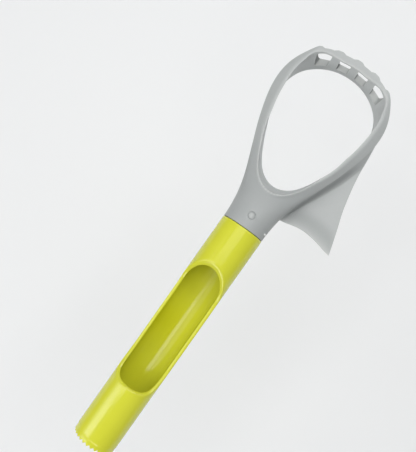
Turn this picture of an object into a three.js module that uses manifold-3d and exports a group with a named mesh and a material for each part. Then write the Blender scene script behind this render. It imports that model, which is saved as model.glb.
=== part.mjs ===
// Avocado slicer: a moulded slicing head with a push-in spigot, and a tubular
// coring handle that the spigot plugs into. Millimetres, +Z up. The tool lies on
// its back: +Y runs from the handle to the slicing head, +X is the knife side,
// +Z is the front. The origin ends up under the middle of the whole tool.
import * as THREE from 'three';
import { mergeVertices } from 'three/addons/utils/BufferGeometryUtils.js';
import Module from 'manifold-3d';

const wasm = await Module();
wasm.setup();

// ---------------------------------------------------------------- dimensions
// coring handle (tube along Y, from the joint at y = 0 towards -Y)
const TUBE_R = 11.25;          // outside radius
const BORE_R = 9.45;           // inside radius
const TUBE_LENGTH = 126.7;     // joint to tooth tips
const TOOTH_COUNT = 30;        // triangular teeth round the cutting end
const TOOTH_HEIGHT = 1.2;
// Ends of the window in side view: height above the lands, and y.
const UPPER_CUT = [[14, -17.8], [11.25, -21.55], [9.45, -24.05], [7.4, -26.8], [5.4, -29.6], [3.6, -32], [2, -34.6], [0.9, -37.4], [0.3, -40.4], [0.06, -43.4], [0, -45.5]];
const LOWER_CUT = [[0, -73], [0.06, -75.4], [0.3, -78.7], [0.9, -82.2], [2, -85.8], [3.6, -88.7], [5.4, -90.5], [7.4, -91.65], [9.45, -92.3], [11.25, -92.7], [14, -93.2]];
const HANDLE_TURN = -5;        // degrees that the handle is turned on the head

// slicing head
const NECK_R = 11.15;          // round neck at the joint
const JOINT_GAP = 0.4;         // shadow gap between neck and handle
const SPIGOT_R = 9.05;
const SPIGOT_LENGTH = 18;
const SPIGOT_BORE_R = 6.6;
const BACK_Z = -11.25;         // flat back rim, level with the bottom of the tube
const CREST_SLOPE = 6.75 / 74; // fall of the crest from crotch to far end
const ARM_DROP = 3.6;          // crest to outer shoulder on the two arms
const FAR_DROP = 0.4;          // the same across the far end
const LOOP_Y = 62;             // pole of the two inner outlines
const FAR_ARC_R = 47;          // outer arc of the far end
const FAR_ARC_Y = 51.8;        // its centre
const SLITS = [[-18.4, -12.5], [-8.15, -2.1], [2.1, 8.15], [12.5, 18.4]]; // slicing windows in the far end
const SLIT_TOP = -2.08;
const SLIT_BOTTOM = -8.4;
const RIB_X = [-20.5, -10.4, 0, 10.4, 20.5]; // ribs between and beside the windows
const RIB_HALF = 1.95;
const TOOTH_DEPTH = 0.88;      // blunt tooth on each rib's outer end
const BAR_R = 43.4;            // outer face of the back bar between the ribs

// knife fin
const FIN_Z = -8.0;            // middle plane
const FIN_ROOT = 2.3;          // thickness at the arm
const FIN_EDGE = 0.8;          // thickness at the edges

// Inner outlines of the loop as cosine series in the angle from +Y about (0, LOOP_Y).
const FRONT_INNER = [29.328, 0.32, 6.655, -2.852, 0.224, -1.529, 0.048, -0.423, 0.217, 0.003, 0.064, 0.118, 0.107, 0.033, 0.014];
const BACK_INNER = [28.109, -0.059, 3.535, -2.572, 1.042, -0.508, 0.072, -0.065, 0.2, -0.041, -0.087];

// Stations of half the outer outline, far end first: x, y, and the matching
// angle on the inner outlines. The last row runs across the joint face.
const OUTLINE = [
  [0, 98.8, 0], [5.2, 98.51, 9.2], [10.6, 97.59, 18.5], [15.2, 96.27, 26.5], [18.2, 95.13, 31],
  [20.75, 93.8, 38.3], [22.6, 91.4, 41.5], [24.05, 89.0, 44.6], [25.45, 86.7, 47.8], [27.4, 82.8, 53],
  [28.6, 79.2, 58.5], [29.2, 75.9, 64], [29.4, 72.4, 70], [29.35, 69.0, 77], [28.9, 65.0, 85],
  [28.0, 60.4, 95], [26.8, 55.8, 104.5], [25.5, 51.5, 113], [24.2, 47.3, 120], [22.5, 42.9, 128],
  [20.7, 38.2, 136], [18.6, 32.8, 143.5], [16.2, 26.6, 150], [14.7, 22.4, 154], [13.2, 17.3, 157.5],
  [12.1, 12.0, 160.5], [11.48, 7.5, 162.5], [11.2, 3.5, 164], [NECK_R, JOINT_GAP, 165.5],
];
const FACE_STATIONS = [[8.6, 168.5], [5.8, 172.5], [2.9, 176.2], [0, 180]];

// Knife fin: where it leaves the arm, its outer edge, and its arched lower edge.
const FIN_ROOT_LINE = [[27.4, 72], [27.3, 66], [26.4, 60], [24.9, 54], [22.8, 47.5], [20.3, 41], [17.6, 35], [14.6, 28.5], [11.6, 21.5], [8, 13.2]];
const FIN_OUTER_LINE = [[28.9, 72], [29.8, 66.8], [30.7, 61.5], [31.1, 57.3], [31.7, 52.2], [32.5, 47.3], [33.9, 40.6], [35.6, 33.9], [38.7, 24.4], [42.2, 13.2]];
const FIN_LOWER_LINE = [[8, 13.2], [14.3, 14.0], [17.8, 14.9], [21.4, 15.7], [24.9, 16.0], [29.3, 15.7], [34.0, 14.9], [39.0, 13.7], [42.2, 13.2]];

// ------------------------------------------------------------------- helpers
const lerp = (a, b, t) => a + (b - a) * t;
const smooth = (a, b, x) => { const t = Math.min(1, Math.max(0, (x - a) / (b - a))); return t * t * (3 - 2 * t); };
const rad = (d) => d * Math.PI / 180;
const series = (c, a) => c.reduce((s, v, i) => s + v * Math.cos(i * a), 0);
const inset = (c, deg) => (c === FRONT_INNER ? 0.4 * smooth(35, 48, deg) * (1 - 0.6 * smooth(140, 165, deg)) : 0);
const polar = (c, deg, side) => { const a = rad(deg), r = series(c, a) - inset(c, deg); return [side * r * Math.sin(a), LOOP_Y + r * Math.cos(a)]; };
const crestZ = (y) => 5.5 - (y - 22) * CREST_SLOPE;

// Half-width of the outer outline at a height y on the neck and lower arms.
const NECK_ROWS = OUTLINE.slice(16).map(([x, y]) => [y, x]).sort((p, q) => p[0] - q[0]);
function halfWidth(y) {
  if (y <= NECK_ROWS[0][0]) return NECK_ROWS[0][1];
  for (let i = 1; i < NECK_ROWS.length; i++) {
    const [y0, x0] = NECK_ROWS[i - 1], [y1, x1] = NECK_ROWS[i];
    if (y <= y1) return lerp(x0, x1, (y - y0) / (y1 - y0));
  }
  return NECK_ROWS[NECK_ROWS.length - 1][1];
}

// Points along a polyline at n + 1 equal steps of its own parameter, on a Catmull-Rom curve.
function smoothRow(points, n) {
  const c = new THREE.CatmullRomCurve3(points.map((p) => new THREE.Vector3(p[0], p[1], p[2] || 0)), false, 'centripetal');
  return Array.from({ length: n + 1 }, (_, i) => c.getPoint(i / n));
}

function toSolid(geometry) {
  const g = geometry.clone();
  for (const name of Object.keys(g.attributes)) if (name !== 'position') g.deleteAttribute(name);
  const m = mergeVertices(g, 1e-4);
  return new wasm.Manifold(new wasm.Mesh({
    numProp: 3,
    vertProperties: new Float32Array(m.attributes.position.array),
    triVerts: new Uint32Array(m.index.array),
  }));
}

function toGeometry(solid) {
  const m = solid.getMesh();
  const g = new THREE.BufferGeometry();
  const p = new Float32Array(m.numVert * 3);
  for (let i = 0; i < m.numVert; i++) for (let k = 0; k < 3; k++) p[i * 3 + k] = m.vertProperties[i * m.numProp + k];
  g.setAttribute('position', new THREE.BufferAttribute(p, 3));
  g.setIndex(Array.from(m.triVerts));
  g.computeVertexNormals();
  return g;
}

// A mesh from rows of points; the two flags wrap the grid round in each direction.
function gridGeometry(rows, wrapRows, wrapCols) {
  const n = rows.length, m = rows[0].length, pos = [], idx = [];
  for (const r of rows) for (const p of r) pos.push(p[0], p[1], p[2]);
  const at = (i, j) => ((i + n) % n) * m + ((j + m) % m);
  for (let i = 0; i < (wrapRows ? n : n - 1); i++) {
    for (let j = 0; j < (wrapCols ? m : m - 1); j++) {
      const a = at(i, j), b = at(i + 1, j), c = at(i + 1, j + 1), d = at(i, j + 1);
      idx.push(a, b, c, a, c, d);
    }
  }
  const g = new THREE.BufferGeometry();
  g.setAttribute('position', new THREE.Float32BufferAttribute(pos, 3));
  g.setIndex(idx);
  let v = 0;
  for (let i = 0; i < idx.length; i += 3) {
    const p = [0, 1, 2].map((k) => new THREE.Vector3(pos[idx[i + k] * 3], pos[idx[i + k] * 3 + 1], pos[idx[i + k] * 3 + 2]));
    v += p[0].dot(p[1].clone().cross(p[2]));
  }
  if (v < 0) g.setIndex(idx.map((_, i) => idx[i - (i % 3) + [0, 2, 1][i % 3]]));
  return g;
}

// A belt of closed rows, each an out run and a matching return run, with both ends capped.
function cappedBelt(rows) {
  const g = gridGeometry(rows, false, true);
  const m = rows[0].length, idx = Array.from(g.index.array), flipped = idx[1] !== m;
  for (const [row, forward] of [[0, true], [rows.length - 1, false]]) {
    const o = row * m;
    for (let j = 0; j < m / 2 - 1; j++) {
      const q = [o + j, o + j + 1, o + m - 2 - j, o + m - 1 - j];
      const tri = [[q[0], q[1], q[2]], [q[0], q[2], q[3]]];
      for (const t of tri) idx.push(...((forward !== flipped) ? t : [t[0], t[2], t[1]]));
    }
  }
  g.setIndex(idx);
  return g;
}

// --------------------------------------------------------------- slicing head
// Each station gives one closed section: front dome from the crest outwards,
// outer wall, back from outside to inside, and up the inner wall to the crest.
const FRONT_U = [0, 0.22, 0.45, 0.7, 0.88, 1];
const BACK_V = [0, 0.03, 0.12, 0.3, 0.62, 1];

function section(ox, oy, deg, side, onFace) {
  const ring = [];
  const [fx, fy] = polar(FRONT_INNER, deg, side);
  const [bx, by] = polar(BACK_INNER, deg, side);
  const x1 = side * ox, y1 = oy;
  const drop = FAR_DROP + (ARM_DROP - FAR_DROP) * smooth(25, 70, deg);
  const edge = (y) => lerp(0.15, crestZ(y) - ARM_DROP, smooth(10, 40, y));
  const top = (y) => lerp(NECK_R, 6.6, smooth(2, 26, y));
  const dome = (x, y) => Math.sqrt(Math.max(0, 1 - (x / halfWidth(y)) ** 2));
  const front = (x, y, u) => {
    const arm = crestZ(fy) - drop * u;
    const neck = edge(y) + (top(y) - edge(y)) * dome(x, y);
    return lerp(neck, arm, smooth(24, 42, y));
  };
  const power = (y) => lerp(2, 6, smooth(2, 26, y));
  const neckBack = (x, y) => {
    const p = power(y), q = Math.min(1, Math.abs(x) / halfWidth(y));
    return -0.15 - (lerp(NECK_R, -BACK_Z, smooth(1, 12, y)) - 0.15) * Math.pow(Math.max(0, 1 - q ** p), 1 / p);
  };
  const onArm = onFace ? 0 : smooth(18, 34, oy);
  // front, crest to outer edge
  for (const u of FRONT_U) { const x = lerp(fx, x1, u), y = lerp(fy, y1, u); ring.push([x, y, front(x, y, u)]); }
  const zo = ring[ring.length - 1][2];
  // outer wall and back, blended from the neck's round belly to the arms' flat back rim
  const nx = bx - x1, ny = by - y1, nl = Math.hypot(nx, ny) || 1;
  const inward = (d) => [x1 + nx / nl * d, y1 + ny / nl * d];
  const faceBack = onFace ? neckBack(x1, y1) : 0;
  const armPts = [[0, zo - 0.4 * (zo - BACK_Z)], [0.25, BACK_Z + 2.2]];
  const neckWall = onFace ? [lerp(zo, faceBack, 0.33), lerp(zo, faceBack, 0.67)] : [lerp(zo, -0.15, 0.4), lerp(zo, -0.15, 0.8)];
  armPts.forEach(([d, z], i) => { const [ax, ay] = inward(d * onArm); ring.push([ax, ay, lerp(neckWall[i], z, onArm)]); });
  const armBack = [[0.3, BACK_Z + 1.3], [0.6, BACK_Z + 0.5], [1.3, BACK_Z]];
  BACK_V.forEach((v, i) => {
    const nbx = lerp(x1, bx, v), nby = lerp(y1, by, v);
    const nz = lerp(neckBack(nbx, nby), BACK_Z, v === 1 ? 1 : 0);
    let ax, ay, az;
    if (i < 3) { [ax, ay] = inward(armBack[i][0]); az = armBack[i][1]; }
    else { const t = (i - 2) / 3; const [sx, sy] = inward(1.3); ax = lerp(sx, bx, t); ay = lerp(sy, by, t); az = BACK_Z; }
    ring.push([lerp(nbx, ax, onArm), lerp(nby, ay, onArm), lerp(nz, az, onArm)]);
  });
  // inner wall, back rim to just under the crest
  for (const t of [0.34, 0.67]) ring.push([lerp(bx, fx, t), lerp(by, fy, t), lerp(BACK_Z, ring[0][2], t)]);
  return ring;
}

function loopGeometry() {
  const half = smoothRow(OUTLINE, 44).map((p) => [p.x, p.y, p.z]);
  half[half.length - 1] = OUTLINE[OUTLINE.length - 1];
  const rows = [];
  for (const [x, y, a] of half) rows.push(section(x, y, a, 1, y <= JOINT_GAP + 1e-6));
  for (const [x, a] of FACE_STATIONS) rows.push(section(x, JOINT_GAP, a, 1, true));
  const faceBack = FACE_STATIONS.slice(0, -1).reverse();
  for (const [x, a] of faceBack) rows.push(section(x, JOINT_GAP, a, -1, true));
  for (let i = half.length - 1; i > 0; i--) { const [x, y, a] = half[i]; rows.push(section(x, y, a, -1, y <= JOINT_GAP + 1e-6)); }
  return gridGeometry(rows, true, true);
}

function finGeometry() {
  const N = 18, M = 8;
  const root = smoothRow(FIN_ROOT_LINE, N), outer = smoothRow(FIN_OUTER_LINE, N), lower = smoothRow(FIN_LOWER_LINE, M);
  const a = lower[0], b = lower[M];
  const rows = [];
  for (let i = 0; i <= N; i++) {
    const s = i / N, up = [], down = [];
    for (let j = 0; j <= M; j++) {
      const t = j / M, k = s ** 4;
      const x = lerp(root[i].x, outer[i].x, t) + k * (lower[j].x - lerp(a.x, b.x, t));
      const y = lerp(root[i].y, outer[i].y, t) + k * (lower[j].y - lerp(a.y, b.y, t));
      const h = 0.5 * lerp(FIN_EDGE, FIN_ROOT, Math.pow(1 - t, 0.8) * (1 - s ** 8));
      up.push([x, y, FIN_Z + h]); down.unshift([x, y, FIN_Z - h]);
    }
    rows.push(up.concat(down));
  }
  return cappedBelt(rows);
}

// A cylinder along Y between two y values.
function rodY(r, y0, y1, segments) {
  const g = new THREE.CylinderGeometry(r, r, y1 - y0, segments);
  g.translate(0, (y0 + y1) / 2, 0);
  return g;
}

// Spigot: a blunt-nosed plug, turned about the tool's axis.
function spigotGeometry() {
  const p = [[0, -SPIGOT_LENGTH], [SPIGOT_R - 0.8, -SPIGOT_LENGTH], [SPIGOT_R, -SPIGOT_LENGTH + 1.2], [SPIGOT_R, 4], [0, 4]];
  return new THREE.LatheGeometry(p.map(([r, y]) => new THREE.Vector2(r, y)), 36);
}

// One slicing window: a straight passage along Y.
function slitGeometry([x0, x1]) {
  const g = new THREE.BoxGeometry(x1 - x0, 20, SLIT_TOP - SLIT_BOTTOM);
  g.translate((x0 + x1) / 2, 92, (SLIT_TOP + SLIT_BOTTOM) / 2);
  return g;
}

const arcY = (r, x) => FAR_ARC_Y + Math.sqrt(r * r - x * x);

// One hollow in the outer edge, between the teeth of two neighbouring ribs.
function scallopGeometry(a, b) {
  const pts = [new THREE.Vector2(a + 1.3, arcY(FAR_ARC_R + 0.02, a + 1.3))];
  for (let i = 0; i <= 5; i++) { const x = lerp(a + 3.05, b - 3.05, i / 5); pts.push(new THREE.Vector2(x, arcY(FAR_ARC_R - TOOTH_DEPTH, x))); }
  pts.push(new THREE.Vector2(b - 1.3, arcY(FAR_ARC_R + 0.02, b - 1.3)), new THREE.Vector2(b - 1.3, 104), new THREE.Vector2(a + 1.3, 104));
  const g = new THREE.ExtrudeGeometry(new THREE.Shape(pts), { depth: 20, bevelEnabled: false });
  g.translate(0, 0, -16);
  return g;
}

// The space behind the front strip between two ribs, outside the back bar.
function pocketGeometry(a, b) {
  const pts = [], x0 = a + RIB_HALF, x1 = b - RIB_HALF;
  for (let i = 0; i <= 6; i++) { const x = lerp(x0, x1, i / 6); pts.push(new THREE.Vector2(x, arcY(BAR_R, x))); }
  pts.push(new THREE.Vector2(x1, 104), new THREE.Vector2(x0, 104));
  const g = new THREE.ExtrudeGeometry(new THREE.Shape(pts), { depth: SLIT_TOP + 16, bevelEnabled: false });
  g.translate(0, 0, -16);
  return g;
}

function headGeometry() {
  let solid = toSolid(loopGeometry());
  solid = solid.add(toSolid(finGeometry()));
  solid = solid.add(toSolid(spigotGeometry()));
  solid = solid.subtract(toSolid(rodY(SPIGOT_BORE_R, -SPIGOT_LENGTH - 2, 5, 30)));
  for (const slit of SLITS) solid = solid.subtract(toSolid(slitGeometry(slit)));
  for (let k = 0; k < 4; k++) solid = solid.subtract(toSolid(scallopGeometry(RIB_X[k], RIB_X[k + 1])));
  for (let k = 0; k < 4; k++) solid = solid.subtract(toSolid(pocketGeometry(RIB_X[k], RIB_X[k + 1])));
  // round moulding gate on the neck's crown: a shallow ring round a low stud
  const ring = new THREE.LatheGeometry([[1.4, -0.4], [2.08, -0.4], [2.08, 3], [1.4, 3], [1.4, -0.4]].map(([r, z]) => new THREE.Vector2(r, z)), 20);
  ring.rotateX(Math.PI / 2 - Math.atan(0.2));
  ring.translate(0.35, 6.9, 10.66);
  solid = solid.subtract(toSolid(ring));
  // alignment pip beside the joint
  const pip = new THREE.IcosahedronGeometry(0.75, 1);
  pip.translate(10.43, 3.27, 4.2);
  solid = solid.add(toSolid(pip));
  return toGeometry(solid);
}

// -------------------------------------------------------------- coring handle
function tubeGeometry() {
  const n = TOOTH_COUNT * 2;
  const rings = [];
  for (let i = 0; i < n; i++) {
    const a = -Math.PI / 2 + 2 * Math.PI * i / n, c = Math.cos(a), s = Math.sin(a);
    const end = -TUBE_LENGTH + (i % 2 ? 0 : TOOTH_HEIGHT);
    rings.push([
      [(TUBE_R - 0.4) * c, 0, (TUBE_R - 0.4) * s], [TUBE_R * c, -0.4, TUBE_R * s], [TUBE_R * c, -TUBE_LENGTH + 6, TUBE_R * s],
      [(TUBE_R - 0.35) * c, end, (TUBE_R - 0.35) * s], [(BORE_R + 0.35) * c, end, (BORE_R + 0.35) * s],
      [BORE_R * c, -TUBE_LENGTH + 6, BORE_R * s], [BORE_R * c, -0.4, BORE_R * s], [(BORE_R + 0.3) * c, 0, (BORE_R + 0.3) * s],
    ]);
  }
  return gridGeometry(rings, true, true);
}

// The long window: everything above the two lands, between the sloping ends.
function windowGeometry() {
  const s = new THREE.Shape([...UPPER_CUT, ...LOWER_CUT].map(([z, y]) => new THREE.Vector2(y, z)));
  const g = new THREE.ExtrudeGeometry(s, { depth: 30, bevelEnabled: false });
  g.translate(0, 0, -15);
  // shape axes (y, z) and depth become (Y, Z) and X
  g.applyMatrix4(new THREE.Matrix4().set(0, 0, 1, 0, 1, 0, 0, 0, 0, 1, 0, 0, 0, 0, 0, 1));
  g.rotateY(rad(HANDLE_TURN));
  return g;
}

function handleGeometry() {
  return toGeometry(toSolid(tubeGeometry()).subtract(toSolid(windowGeometry())));
}

// ------------------------------------------------------------------- assembly
const head = new THREE.Mesh(headGeometry(), new THREE.MeshStandardMaterial({ color: 0xb4b9b8, roughness: 0.5, metalness: 0 }));
head.name = 'slicer_head';

const handle = new THREE.Mesh(handleGeometry(), new THREE.MeshStandardMaterial({ color: 0xd6da2c, roughness: 0.28, metalness: 0 }));
handle.name = 'corer_handle';

const tool = new THREE.Group();
tool.add(head, handle);
const box = new THREE.Box3().setFromObject(tool);
tool.position.set(-(box.min.x + box.max.x) / 2, -(box.min.y + box.max.y) / 2, -box.min.z);

const slicer = new THREE.Group();
slicer.add(tool);
slicer.updateMatrixWorld(true);

export default slicer;
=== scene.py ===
import math

import bmesh
import bpy
import numpy as np
from mathutils import Matrix, Vector


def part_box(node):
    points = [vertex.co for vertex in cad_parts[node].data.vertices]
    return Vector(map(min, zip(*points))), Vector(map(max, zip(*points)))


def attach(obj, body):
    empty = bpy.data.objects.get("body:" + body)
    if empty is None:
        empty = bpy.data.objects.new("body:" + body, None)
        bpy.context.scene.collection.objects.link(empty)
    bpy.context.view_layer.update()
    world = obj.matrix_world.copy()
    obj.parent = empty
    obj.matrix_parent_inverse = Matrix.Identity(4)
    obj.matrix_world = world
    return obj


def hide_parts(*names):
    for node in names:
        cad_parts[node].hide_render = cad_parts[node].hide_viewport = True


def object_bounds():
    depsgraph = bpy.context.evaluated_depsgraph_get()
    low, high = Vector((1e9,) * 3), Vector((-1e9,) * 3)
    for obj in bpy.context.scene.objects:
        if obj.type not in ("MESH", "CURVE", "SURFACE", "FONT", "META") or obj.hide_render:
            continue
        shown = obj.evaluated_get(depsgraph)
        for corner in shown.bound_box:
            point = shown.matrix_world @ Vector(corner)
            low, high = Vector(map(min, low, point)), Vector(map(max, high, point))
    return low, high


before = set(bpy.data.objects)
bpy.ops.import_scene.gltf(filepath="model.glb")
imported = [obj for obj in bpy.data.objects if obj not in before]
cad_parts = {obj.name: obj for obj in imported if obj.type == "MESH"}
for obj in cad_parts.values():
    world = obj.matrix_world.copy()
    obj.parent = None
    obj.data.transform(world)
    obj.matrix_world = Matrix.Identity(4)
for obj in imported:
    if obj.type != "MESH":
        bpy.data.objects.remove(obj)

CAD_BOX = [[float(c) for c in v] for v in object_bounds()]

# ------------------------------------------------------------------ dimensions
TUBE_R, BORE_R, TUBE_LENGTH = 11.25, 9.45, 126.7
TOOTH_COUNT, TOOTH_HEIGHT = 30, 1.2
HANDLE_TURN = -5.0
UPPER_CUT = [[0, -45.5], [0.06, -43.4], [0.3, -40.4], [0.9, -37.4], [2, -34.6], [3.6, -32.0], [5.4, -29.6], [7.4, -26.8], [9.45, -24.05], [11.25, -21.55]]
LOWER_CUT = [[0, -73.0], [0.06, -75.4], [0.3, -78.7], [0.9, -82.2], [2, -85.8], [3.6, -88.7], [5.4, -90.5], [7.4, -91.65], [9.45, -92.3], [11.25, -92.7]]
RIM_OUTER, RIM_INNER = 0.85, 0.6

NECK_R, JOINT_GAP, JOINT_BOW = 11.15, 0.25, 0.7
SPIGOT_R, SPIGOT_LENGTH, SPIGOT_BORE_R = 9.05, 18.0, 6.6
BACK_Z = -11.25
LOOP_Y, FAR_ARC_R, FAR_ARC_Y = 62.0, 47.0, 51.8
SLIT_TOP, SLIT_BOTTOM = -1.95, -8.8
RIB_X, RIB_HALF, BAR_R, TOOTH_DEPTH = (0.0, 10.4, 20.7), 1.95, 43.4, 0.88
SLIT_X = ((2.1, 8.15), (12.45, 19.5))
END_RIB_HALF = 1.1
FIN_Z, FIN_ROOT, FIN_EDGE = -8.0, 2.3, 0.8

FRONT_INNER = [29.328, 0.32, 6.655, -2.852, 0.224, -1.529, 0.048, -0.423, 0.217, 0.003, 0.064, 0.118, 0.107, 0.033, 0.014]
BACK_INNER = [28.109, -0.059, 3.535, -2.572, 1.042, -0.508, 0.072, -0.065, 0.2, -0.041, -0.087]
OUTLINE = np.array([
    [0, 98.8, 0], [5.2, 98.51, 9.2], [10.6, 97.59, 18.5], [15.2, 96.27, 26.5], [18.2, 95.13, 31],
    [20.75, 93.8, 38.3], [22.6, 91.4, 41.5], [24.05, 89.0, 44.6], [25.45, 86.7, 47.8], [27.4, 82.8, 53],
    [28.6, 79.2, 58.5], [29.2, 75.9, 64], [29.4, 72.4, 70], [29.35, 69.0, 77], [28.9, 65.0, 85],
    [28.0, 60.4, 95], [26.8, 55.8, 104.5], [25.5, 51.5, 113], [24.2, 47.3, 120], [22.5, 42.9, 128],
    [20.7, 38.2, 136], [18.6, 32.8, 143.5], [16.2, 26.6, 150], [14.7, 22.4, 154], [13.2, 17.3, 157.5],
    [12.1, 12.0, 160.5], [11.48, 7.5, 162.5], [11.2, 3.5, 164], [NECK_R, JOINT_GAP, 165.5]])
FACE_X = np.array([0, 2.9, 5.8, 8.6, NECK_R])
FACE_DEG = np.array([180, 176.2, 172.5, 168.5, 165.5])
FIN_ROOT_LINE = [[27.4, 72], [27.3, 66], [26.4, 60], [24.9, 54], [22.8, 47.5], [20.3, 41], [17.6, 35], [14.6, 28.5], [11.6, 21.5], [8, 13.2]]
FIN_OUTER_LINE = [[28.9, 72], [29.8, 66.8], [30.7, 61.5], [31.1, 57.3], [31.7, 52.2], [32.5, 47.3], [33.9, 40.6], [35.6, 33.9], [38.7, 24.4], [42.2, 13.2]]
FIN_LOWER_LINE = [[8, 13.2], [14.3, 14.0], [17.8, 14.9], [21.4, 15.7], [24.9, 16.0], [29.3, 15.7], [34.0, 14.9], [39.0, 13.7], [42.2, 13.2]]

_lo, _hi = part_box("corer_handle")
ORIGIN = np.array([(_lo.x + _hi.x) / 2, _hi.y, _lo.z + TUBE_R * 0.001])


# --------------------------------------------------------------------- helpers
def lerp(a, b, t):
    return a + (b - a) * t


def smooth(a, b, x):
    t = np.clip((np.asarray(x, float) - a) / (b - a), 0, 1)
    return t * t * (3 - 2 * t)


def crest(y):
    return 5.5 - (y - 22) * 6.75 / 74


def make_mesh(name, verts, faces):
    """Mesh object in metres from millimetre points of the tool's frame."""
    me = bpy.data.meshes.new(name)
    me.from_pydata((np.asarray(verts, float) * 0.001 + ORIGIN).tolist(), [], [tuple(int(i) for i in f) for f in faces])
    me.update()
    ob = bpy.data.objects.new(name, me)
    bpy.context.scene.collection.objects.link(ob)
    return ob


def tidy(ob, weld=2e-7):
    """Welds coincident points, drops loose ones and turns every face outwards."""
    bm = bmesh.new()
    bm.from_mesh(ob.data)
    bmesh.ops.remove_doubles(bm, verts=bm.verts, dist=weld)
    bmesh.ops.dissolve_degenerate(bm, edges=bm.edges, dist=weld)
    loose = [v for v in bm.verts if not v.link_faces]
    if loose:
        bmesh.ops.delete(bm, geom=loose, context="VERTS")
    bmesh.ops.recalc_face_normals(bm, faces=bm.faces)
    if bm.calc_volume(signed=True) < 0:
        bmesh.ops.reverse_faces(bm, faces=bm.faces)
    bm.to_mesh(ob.data)
    bm.free()
    ob.data.update()
    return ob


def bake_modifiers(ob):
    dg = bpy.context.evaluated_depsgraph_get()
    me = bpy.data.meshes.new_from_object(ob.evaluated_get(dg), depsgraph=dg)
    ob.modifiers.clear()
    old = ob.data
    ob.data = me
    bpy.data.meshes.remove(old)
    return ob


def subdivide(ob, levels):
    m = ob.modifiers.new("subdivision", "SUBSURF")
    m.levels = m.render_levels = levels
    return bake_modifiers(ob)


def boolean(ob, tool, operation):
    m = ob.modifiers.new("boolean", "BOOLEAN")
    m.operation, m.solver, m.object = operation, "EXACT", tool
    bake_modifiers(ob)
    old = tool.data
    bpy.data.objects.remove(tool)
    bpy.data.meshes.remove(old)
    return ob


def shade(ob, angle):
    ob.data.polygons.foreach_set("use_smooth", [True] * len(ob.data.polygons))
    ob.data.set_sharp_from_angle(angle=math.radians(angle))
    ob.data.update()


def fair(s_data, values, s_grid, stiff, weight):
    """Least-squares curve through stations with a penalty on its third differences."""
    n, h = len(s_grid), s_grid[1] - s_grid[0]
    a = np.zeros((len(s_data), n))
    for i, s in enumerate(s_data):
        k = int(np.clip((s - s_grid[0]) / h, 0, n - 2))
        t = (s - s_grid[k]) / h
        a[i, k], a[i, k + 1] = 1 - t, t
    d = np.zeros((n - 3, n))
    for i in range(n - 3):
        d[i, i:i + 4] = (-1, 3, -3, 1)
    w = np.asarray(weight, float)[:, None]
    lam = np.asarray(stiff(0.5 * (s_grid[1:-2] + s_grid[2:-1])), float)[:, None]
    return np.linalg.solve(a.T @ (w * a) + d.T @ (lam * d), a.T @ (w * values))


def curve_through(points, n):
    """n + 1 points on a centripetal Catmull-Rom curve, evenly spaced along its own parameter."""
    p = np.asarray(points, float)
    p = np.vstack([2 * p[0] - p[1], p, 2 * p[-1] - p[-2]])
    out = []
    for u in np.linspace(0, len(points) - 1, n + 1):
        i = min(int(u), len(points) - 2)
        f = u - i
        q = p[i:i + 4]
        k = [0.0]
        for j in range(3):
            k.append(k[-1] + max(1e-6, np.linalg.norm(q[j + 1] - q[j]) ** 0.5))
        t = lerp(k[1], k[2], f)
        a1 = lerp(q[0], q[1], (t - k[0]) / (k[1] - k[0]))
        a2 = lerp(q[1], q[2], (t - k[1]) / (k[2] - k[1]))
        a3 = lerp(q[2], q[3], (t - k[2]) / (k[3] - k[2]))
        b1 = lerp(a1, a2, (t - k[0]) / (k[2] - k[0]))
        b2 = lerp(a2, a3, (t - k[1]) / (k[3] - k[1]))
        out.append(lerp(b1, b2, (t - k[1]) / (k[2] - k[1])))
    return np.array(out)


def along(points, lengths):
    """Points at given distances along a polyline."""
    seg = np.linalg.norm(np.diff(points, axis=0), axis=1)
    s = np.concatenate([[0], np.cumsum(seg)])
    return np.stack([np.interp(lengths, s, points[:, k]) for k in range(3)], 1)


def run(points):
    return float(np.linalg.norm(np.diff(points, axis=0), axis=1).sum())


# ------------------------------------------------------------- slicing head: lines
STEP_DEG = 0.25
DEG = np.arange(-180, 180, STEP_DEG)


def soft_series(c, sigma):
    """Radius table of a cosine series, softened by a Gaussian of varying width."""
    a = np.radians(DEG)
    r = sum(v * np.cos(i * a) for i, v in enumerate(c))
    out = np.empty_like(r)
    for i, d in enumerate(DEG):
        s = sigma(abs(d))
        k = int(4 * s / STEP_DEG)
        off = np.arange(-k, k + 1)
        w = np.exp(-0.5 * (off * STEP_DEG / s) ** 2)
        out[i] = (r[(i + off) % len(r)] * w).sum() / w.sum()
    return out


def arm_sigma(d):
    return 2.2 + 4.8 * float(smooth(55, 75, d) * (1 - smooth(120, 142, d)))


FRONT_TABLE = soft_series(FRONT_INNER, arm_sigma)
BACK_TABLE = soft_series(BACK_INNER, lambda d: 3.0)


FRONT_TABLE = FRONT_TABLE - 0.4 * smooth(35, 48, np.abs(DEG)) * (1 - 0.6 * smooth(140, 165, np.abs(DEG)))
FRONT_TABLE = FRONT_TABLE + 0.55 * smooth(18, 29, np.abs(DEG)) * (1 - smooth(37, 48, np.abs(DEG)))


def inner(table, deg):
    r = np.interp(deg, np.append(DEG, 180), np.append(table, table[0]))
    a = np.radians(deg)
    return np.stack([r * np.sin(a), LOOP_Y + r * np.cos(a)], -1)


_sweep = np.linspace(-50, 50, 1001)
FRONT_LINE = inner(FRONT_TABLE, _sweep)


def line_y(line, x):
    return float(np.interp(x, line[:, 0], line[:, 1]))


def arc_y(r, x):
    return FAR_ARC_Y + math.sqrt(r * r - x * x)


def far_edge(x):
    """End of the far edge at x: a blunt tooth on each rib, a shallow scallop between."""
    d = min(abs(abs(x) - c) for c in RIB_X)
    return arc_y(FAR_ARC_R - TOOTH_DEPTH * min(1.0, max(0.0, (d - 1.3) / 1.75)), x)


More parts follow.
